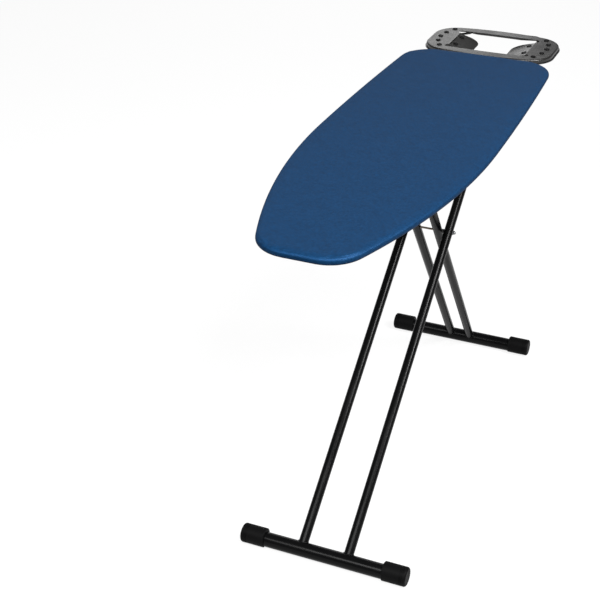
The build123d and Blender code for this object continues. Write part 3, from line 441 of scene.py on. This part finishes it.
def plan_edges(across, along):
    """The plan's edges between the middles of its corner arcs, each as points and outward normals.
    A point is a distance from the middle line and a distance from the square end."""
    side_turn = asin((WIDEST_FROM_END - END_CORNER_RADIUS) / (REAR_SIDE_RADIUS - END_CORNER_RADIUS))
    nose_run = BOARD_LENGTH - WIDEST_FROM_END - NOSE_CORNER_RADIUS
    nose_turn = asin(nose_run / (NOSE_SIDE_RADIUS - NOSE_CORNER_RADIUS))
    rear_centre = BOARD_HALF_WIDTH - REAR_SIDE_RADIUS
    nose_centre = BOARD_HALF_WIDTH - NOSE_SIDE_RADIUS
    end_x = rear_centre + (REAR_SIDE_RADIUS - END_CORNER_RADIUS) * cos(side_turn)
    tip_x = nose_centre + (NOSE_SIDE_RADIUS - NOSE_CORNER_RADIUS) * cos(nose_turn)
    tip_run = BOARD_LENGTH - NOSE_CORNER_RADIUS
    end_middle = -(pi / 2 + side_turn) / 2
    tip_middle = (pi / 2 + nose_turn) / 2
    side = [
        arc(end_x, END_CORNER_RADIUS, END_CORNER_RADIUS, end_middle, -side_turn),
        arc(rear_centre, WIDEST_FROM_END, REAR_SIDE_RADIUS, -side_turn, 0.0),
        arc(nose_centre, WIDEST_FROM_END, NOSE_SIDE_RADIUS, 0.0, nose_turn),
        arc(tip_x, tip_run, NOSE_CORNER_RADIUS, nose_turn, tip_middle),
    ]
    end = [
        arc(-end_x, END_CORNER_RADIUS, END_CORNER_RADIUS, -pi - end_middle, -pi / 2),
        straight((-end_x, 0.0), (end_x, 0.0), (0.0, -1.0)),
        arc(end_x, END_CORNER_RADIUS, END_CORNER_RADIUS, -pi / 2, end_middle),
    ]
    tip = [
        arc(-tip_x, tip_run, NOSE_CORNER_RADIUS, pi - tip_middle, pi / 2),
        straight((-tip_x, BOARD_LENGTH), (tip_x, BOARD_LENGTH), (0.0, 1.0)),
        arc(tip_x, tip_run, NOSE_CORNER_RADIUS, pi / 2, tip_middle),
    ]
    right = sampled(side, along)
    left = [((-x, run), (-nx, nr)) for (x, run), (nx, nr) in right]
    return right, left, sampled(end, across), sampled(tip, across)


def plan_point(place, inset):
    """A place on the plan's edge, moved inwards, in X and Y."""
    (x, run), (normal_x, normal_run) = place
    return x - normal_x * inset, SQUARE_END_Y - (run - normal_run * inset)


def plan_loop(across, along):
    """The closed edge of the plan: right side, nose, left side, square end."""
    right, left, end, tip = plan_edges(across, along)
    return right[:-1] + tip[:0:-1] + left[:0:-1] + end[:-1]


def plan_area(outset):
    """Area of the plan grown by an outset."""
    points = [plan_point(place, -outset) for place in plan_loop(across=60, along=160)]
    pairs = zip(points, points[1:] + points[:1])
    return abs(sum(a[0] * b[1] - b[0] * a[1] for a, b in pairs)) / 2


def plan_grid(across, along, inset):
    """Points in rows that follow the plan's four edges, their faces, and the border in order."""
    right, left, end, tip = ([plan_point(p, inset) for p in edge] for edge in plan_edges(across, along))
    points = []
    for row in range(along + 1):
        v = row / along
        for column in range(across + 1):
            u = column / across
            point = []
            for axis in (0, 1):
                sides = (1 - u) * left[row][axis] + u * right[row][axis]
                ends = (1 - v) * end[column][axis] + v * tip[column][axis]
                corners = ((1 - u) * ((1 - v) * left[0][axis] + v * left[-1][axis])
                           + u * ((1 - v) * right[0][axis] + v * right[-1][axis]))
                point.append(sides + ends - corners)
            points.append(tuple(point))
    width = across + 1
    faces = []
    for row in range(along):
        for column in range(across):
            first = row * width + column
            faces.append((first, first + width, first + width + 1, first + 1))
    border = [row * width + across for row in range(along)]
    border += [along * width + column for column in range(across, 0, -1)]
    border += [row * width for row in range(along, 0, -1)]
    border += list(range(across))
    return points, faces, border


def add_rings(points, faces, border, loop, profile):
    """Continues a grid outwards from its border with one ring for each (inset, height)."""
    count = len(border)
    last = border
    for inset, height in profile:
        ring = list(range(len(points), len(points) + count))
        points.extend((*plan_point(place, inset), height) for place in loop)
        for i in range(count):
            k = (i + 1) % count
            faces.append((last[i], last[k], ring[k], ring[i]))
        last = ring
    return last


def counts(step):
    """How many mesh cells go across and along the board at a spacing."""
    right, _, end, _ = plan_edges(across=200, along=600)
    def run(edge):
        return sum(hypot(b[0][0] - a[0][0], b[0][1] - a[0][1]) for a, b in zip(edge, edge[1:]))
    return round(run(end) / step), round(run(right) / step)


def runs_along(points):
    """How far each of some flat points lies along the line through them."""
    runs = [0.0]
    for a, b in zip(points, points[1:]):
        runs.append(runs[-1] + hypot(b[0] - a[0], b[1] - a[1]))
    return runs


def closed_tube(rings, sides):
    """Faces of a tube that closes on itself, from its number of rings and the sides of each."""
    faces = []
    for ring in range(rings):
        following = (ring + 1) % rings
        for side in range(sides):
            beside = (side + 1) % sides
            faces.append((ring * sides + side, ring * sides + beside,
                          following * sides + beside, following * sides + side))
    return faces


# ---------------------------------------------------------------- cloth
def puff(piece, held):
    """Swells a cloth mesh outwards by simulation, keeping its held points and capping every move."""
    rest = [(v.co.copy(), v.normal.copy()) for v in piece.data.vertices]
    group = piece.vertex_groups.new(name="held")
    group.add(held, 1.0, "REPLACE")
    modifier = piece.modifiers.new("cloth", "CLOTH")
    settings = modifier.settings
    settings.quality = 6
    settings.mass = 0.2
    settings.tension_stiffness = 12.0
    settings.compression_stiffness = 12.0
    settings.shear_stiffness = 4.0
    settings.bending_stiffness = 0.4
    settings.air_damping = 4.0
    settings.vertex_group_mass = group.name
    settings.use_pressure = True
    settings.uniform_pressure_force = SWELL_PRESSURE
    settings.effector_weights.gravity = 0.0
    scene = bpy.context.scene
    for step in range(1, SWELL_FRAMES + 1):
        scene.frame_set(step)
    shown = piece.evaluated_get(bpy.context.evaluated_depsgraph_get())
    moved = [v.co.copy() for v in shown.data.vertices]
    piece.modifiers.clear()
    piece.vertex_groups.clear()
    scene.frame_set(1)
    for vertex, (start, outward), end in zip(piece.data.vertices, rest, moved):
        swell = max(0.0, (end - start).dot(outward))
        vertex.co = start + outward * SWELL_CAP * tanh(swell / SWELL_CAP)
    piece.data.update()


def smooth_once(piece):
    """One level of subdivision, applied."""
    level = piece.modifiers.new("smooth", "SUBSURF")
    level.levels = 1
    level.render_levels = 1
    apply_modifiers(piece)


def edge_profile():
    """Cross-section of the cover from the top's border round the edge to the turned-under hem."""
    profile = []
    for step in range(1, ROUNDING_STEPS + 1):
        turn = radians(90 * step / ROUNDING_STEPS)
        profile.append((EDGE_ROUNDING * (1 - sin(turn)), BOARD_TOP - EDGE_ROUNDING * (1 - cos(turn))))
    for step in range(ROUNDING_STEPS + 1):
        turn = radians(90 * step / ROUNDING_STEPS)
        profile.append((EDGE_ROUNDING * (1 - cos(turn)), BOARD_BOTTOM + EDGE_ROUNDING * (1 - sin(turn))))
    for inset in HEM_INSETS:
        profile.append((inset, BOARD_BOTTOM + HEM_LIFT))
    return profile


def make_cover():
    """The fitted cover: one taut skin over the top and edge, with its hem gathered underneath."""
    across, along = counts(GRID_STEP)
    flat, faces, border = plan_grid(across, along, EDGE_ROUNDING)
    points = [(x, y, BOARD_TOP) for x, y in flat]
    add_rings(points, faces, border, plan_loop(across, along), edge_profile())
    piece = new_mesh("board_cover_skin", points, faces, "cover_fabric")
    held_from = len(flat) + len(border) * HELD_FROM_RING
    puff(piece, list(range(held_from, len(points))))
    smooth_once(piece)
    gather_hem(piece)
    skin = piece.modifiers.new("thickness", "SOLIDIFY")
    skin.thickness = CLOTH_THICKNESS
    skin.offset = -1.0
    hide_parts("board_cover")
    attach(piece, "board")
    return piece


def gather_hem(piece):
    """Puckers in the turned-under hem, deepest round the corners, fading out up the edge."""
    loop = plan_loop(across=120, along=420)
    outer = [plan_point(place, 0.0) for place in loop]
    runs = runs_along(outer)
    tree = kd_tree(outer)
    pucker_top = BOARD_BOTTOM + PUCKER_RISE
    for vertex in piece.data.vertices:
        if vertex.co.z > pucker_top:
            continue
        _, index, distance = tree.find(Vector((vertex.co.x, vertex.co.y, 0.0)))
        run = runs[index]
        depth = min(1.0, max(0.0, (distance - PUCKER_START) / PUCKER_GROWTH))
        corner = corner_share(loop[index])
        wave = sin(2 * pi * run / PUCKER_PITCH + 1.7 * sin(run * 9.0))
        vertex.co.z += PUCKER_DEPTH * depth * (PUCKER_ON_SIDES + (1 - PUCKER_ON_SIDES) * corner) * wave


def kd_tree(points):
    """A search tree over flat points."""
    tree = KDTree(len(points))
    for index, (x, y) in enumerate(points):
        tree.insert(Vector((x, y, 0.0)), index)
    tree.balance()
    return tree


def corner_share(place):
    """1 in the middle of a corner or of an end, 0 on the long sides."""
    normal_run = abs(place[1][1])
    return min(1.0, normal_run * 1.3)


cover = make_cover()


def make_pad():
    """The felt and foam underlay inside the cover, with a softened edge."""
    across, along = counts(GRID_STEP)
    inset = BOARD_HALF_WIDTH - PAD_HIGH.x
    high = PAD_HIGH.z
    low = PAD_LOW.z
    flat, faces, border = plan_grid(across, along, inset + PAD_ROUNDING)
    points = [(x, y, high) for x, y in flat]
    profile = []
    for step in range(1, PAD_ROUNDING_STEPS + 1):
        turn = radians(90 * step / PAD_ROUNDING_STEPS)
        profile.append((inset + PAD_ROUNDING * (1 - sin(turn)), high - PAD_ROUNDING * (1 - cos(turn))))
    profile.append((inset, low + PAD_CHAMFER))
    profile.append((inset + PAD_CHAMFER, low))
    last = add_rings(points, faces, border, plan_loop(across, along), profile)
    under, under_faces, under_border = plan_grid(across, along, inset + PAD_ROUNDING)
    start = len(points)
    points.extend((x, y, low) for x, y in under)
    faces.extend(tuple(start + i for i in reversed(face)) for face in under_faces)
    count = len(border)
    for i in range(count):
        k = (i + 1) % count
        faces.append((last[i], last[k], start + under_border[k], start + under_border[i]))
    piece = new_mesh("underlay_pad_felt", points, faces, "pad_felt")
    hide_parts("underlay_pad")
    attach(piece, "board")


make_pad()


def make_hem_tape():
    """Puckered binding over the hem's raw edge."""
    middle_inset = sum(TAPE_INSETS) / 2
    half_width = (TAPE_INSETS[1] - TAPE_INSETS[0]) / 2
    loop = plan_loop(*SEWING_STEPS)
    runs = runs_along([plan_point(place, middle_inset) for place in loop])
    points = []
    for place, run in zip(loop, runs):
        ripple = TAPE_RIPPLE * sin(2 * pi * run / TAPE_PITCH + 2.3 * sin(run * 17.0))
        for side in range(TAPE_SIDES):
            turn = 2 * pi * side / TAPE_SIDES
            inset = middle_inset + half_width * cos(turn)
            height = TAPE_HEIGHT + TAPE_THICKNESS / 2 * sin(turn) + ripple * (1.0 + 0.4 * cos(turn))
            points.append((*plan_point(place, inset), height))
    faces = closed_tube(len(loop), TAPE_SIDES)
    piece = new_mesh("hem_tape", points, faces, "tape")
    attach(piece, "board")
    return piece


hem_tape = make_hem_tape()


def add_stitch(points, faces, middle, along):
    """One plump stitch, tapered at both ends."""
    across = Vector((-along.y, along.x, 0.0))
    start = len(points)
    for share, fullness in STITCH_FORM:
        centre = middle + along * STITCH_LENGTH * share
        for side in range(STITCH_SIDES):
            turn = 2 * pi * side / STITCH_SIDES
            offset = across * cos(turn) + Vector((0.0, 0.0, sin(turn)))
            points.append(centre + offset * STITCH_RADIUS * fullness)
    for ring in range(len(STITCH_FORM) - 1):
        first = start + ring * STITCH_SIDES
        second = first + STITCH_SIDES
        for side in range(STITCH_SIDES):
            following = (side + 1) % STITCH_SIDES
            faces.append((first + side, first + following, second + following, second + side))
    faces.append(tuple(range(start + STITCH_SIDES - 1, start - 1, -1)))
    faces.append(tuple(range(len(points) - STITCH_SIDES, len(points))))


def make_hem_stitches():
    """A row of lock stitches that holds the binding to the hem."""
    middle = [plan_point(place, STITCH_INSET) for place in plan_loop(*SEWING_STEPS)]
    points = []
    faces = []
    run = 0.0
    target = 0.0
    for a, b in zip(middle, middle[1:] + middle[:1]):
        step = hypot(b[0] - a[0], b[1] - a[1])
        run += step
        if run < target or step == 0.0:
            continue
        target += STITCH_PITCH
        along = Vector(((b[0] - a[0]) / step, (b[1] - a[1]) / step, 0.0))
        add_stitch(points, faces, Vector((*a, STITCH_HEIGHT)), along)
    piece = new_mesh("hem_stitches", points, faces, "thread")
    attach(piece, "board")
    return piece


hem_stitches = make_hem_stitches()
plan_area(HEM_REACH)


# ---------------------------------------------------------------- welds
def centre_of(node):
    """The middle of a node's box."""
    low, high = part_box(node)
    return (low + high) / 2


def make_bead(name, bar, tube, top_node, body):
    """The ripple of weld round one leg tube's coped end, where it stands on its foot bar."""
    foot = centre_of(bar)
    top = centre_of(top_node)
    foot.x = centre_of(tube).x
    top.x = foot.x
    along = (top - foot).normalized()
    across = Vector((1.0, 0.0, 0.0))
    normal = along.cross(across)
    points = []
    for step in range(BEAD_STEPS):
        turn = 2 * pi * step / BEAD_STEPS
        rise = sqrt(FOOT_BAR_RADIUS ** 2 - (TUBE_RADIUS * sin(turn)) ** 2)
        outward = across * cos(turn) + normal * sin(turn)
        centre = foot + along * rise + outward * TUBE_RADIUS
        ripple = BEAD_RIPPLE * sin(2 * pi * step / BEAD_RIPPLE_STEPS)
        size = BEAD_THICKNESS * (1.0 + ripple + BEAD_DRIFT * sin(step * 0.9))
        for side in range(BEAD_SIDES):
            turn = 2 * pi * side / BEAD_SIDES
            points.append(centre + (outward * cos(turn) + along * sin(turn)) * size)
    faces = closed_tube(BEAD_STEPS, BEAD_SIDES)
    piece = new_mesh(name, points, faces, "leg_paint")
    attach(piece, body)


for side_name in ("left", "right"):
    make_bead(f"front_weld_bead_{side_name}", "front_foot_bar", f"outer_tube_{side_name}",
              f"hinge_pin_{side_name}", "outer_leg")
    make_bead(f"rear_weld_bead_{side_name}", "rear_foot_bar", f"inner_tube_{side_name}",
              "slide_rod", "inner_leg")


# ---------------------------------------------------------------- floor and light
def make_floor():
    """A wide pale floor that stands for the studio sweep."""
    finish = Finish("studio_floor", FLOOR_COLOR, roughness=0.8, specular=0.05)
    finish.tint(finish.noise(3.0, detail=2.0), dark=0.995, light=1.005)
    finish.set("Emission Color", (1.0, 1.0, 1.0, 1.0))
    finish.set("Emission Strength", FLOOR_GLOW)
    mesh = bpy.data.meshes.new("studio_floor")
    corners = [(x * FLOOR_REACH, y * FLOOR_REACH, 0) for x, y in ((-1, -1), (1, -1), (1, 1), (-1, 1))]
    mesh.from_pydata(corners, [], [(0, 1, 2, 3)])
    mesh.materials.append(finish.material)
    floor = bpy.data.objects.new("studio_floor", mesh)
    bpy.context.scene.collection.objects.link(floor)
    return floor


def softbox(name, place, aim, size, power):
    """A rectangular soft light of some watts, unseen by the camera."""
    data = bpy.data.lights.new(name, "AREA")
    data.shape = "RECTANGLE"
    data.size, data.size_y = size
    data.energy = power
    light = bpy.data.objects.new(name, data)
    light.location = place
    light.rotation_euler = (Vector(aim) - Vector(place)).to_track_quat("-Z", "Y").to_euler()
    light.visible_camera = False
    bpy.context.scene.collection.objects.link(light)
    return light


def flag_off(pieces, glows):
    """Black flags that keep some glows off some pieces."""
    flagged = bpy.data.collections.new("flagged_off")
    for piece in pieces:
        flagged.objects.link(piece)
    for member in flagged.collection_objects:
        member.light_linking.link_state = "EXCLUDE"
    for glow in glows:
        glow.light_linking.receiver_collection = flagged


def make_world():
    """Even fill from all round, shown with plain colours."""
    world = bpy.data.worlds.new("studio")
    world.use_nodes = True
    background = world.node_tree.nodes["Background"]
    background.inputs["Color"].default_value = (1.0, 1.0, 1.0, 1.0)
    background.inputs["Strength"].default_value = WORLD_GLOW
    bpy.context.scene.world = world
    bpy.context.scene.view_settings.view_transform = "Standard"


floor = make_floor()
make_world()
softbox("front_key", place=(0.4, -3.6, 4.3), aim=(0.0, -0.3, 0.8), size=(4.6, 1.6), power=330.0)
softbox("side_strip", place=(2.45, -0.5, 3.5), aim=(0.0, -0.1, 0.5), size=(0.6, 2.4), power=200.0)
card_behind = softbox("card_behind", place=(-2.0, 5.2, 2.0), aim=(0.0, 0.6, 0.8), size=(2.0, 1.5), power=23.0)
flag_off([cover, hem_tape, hem_stitches], [floor, card_behind])
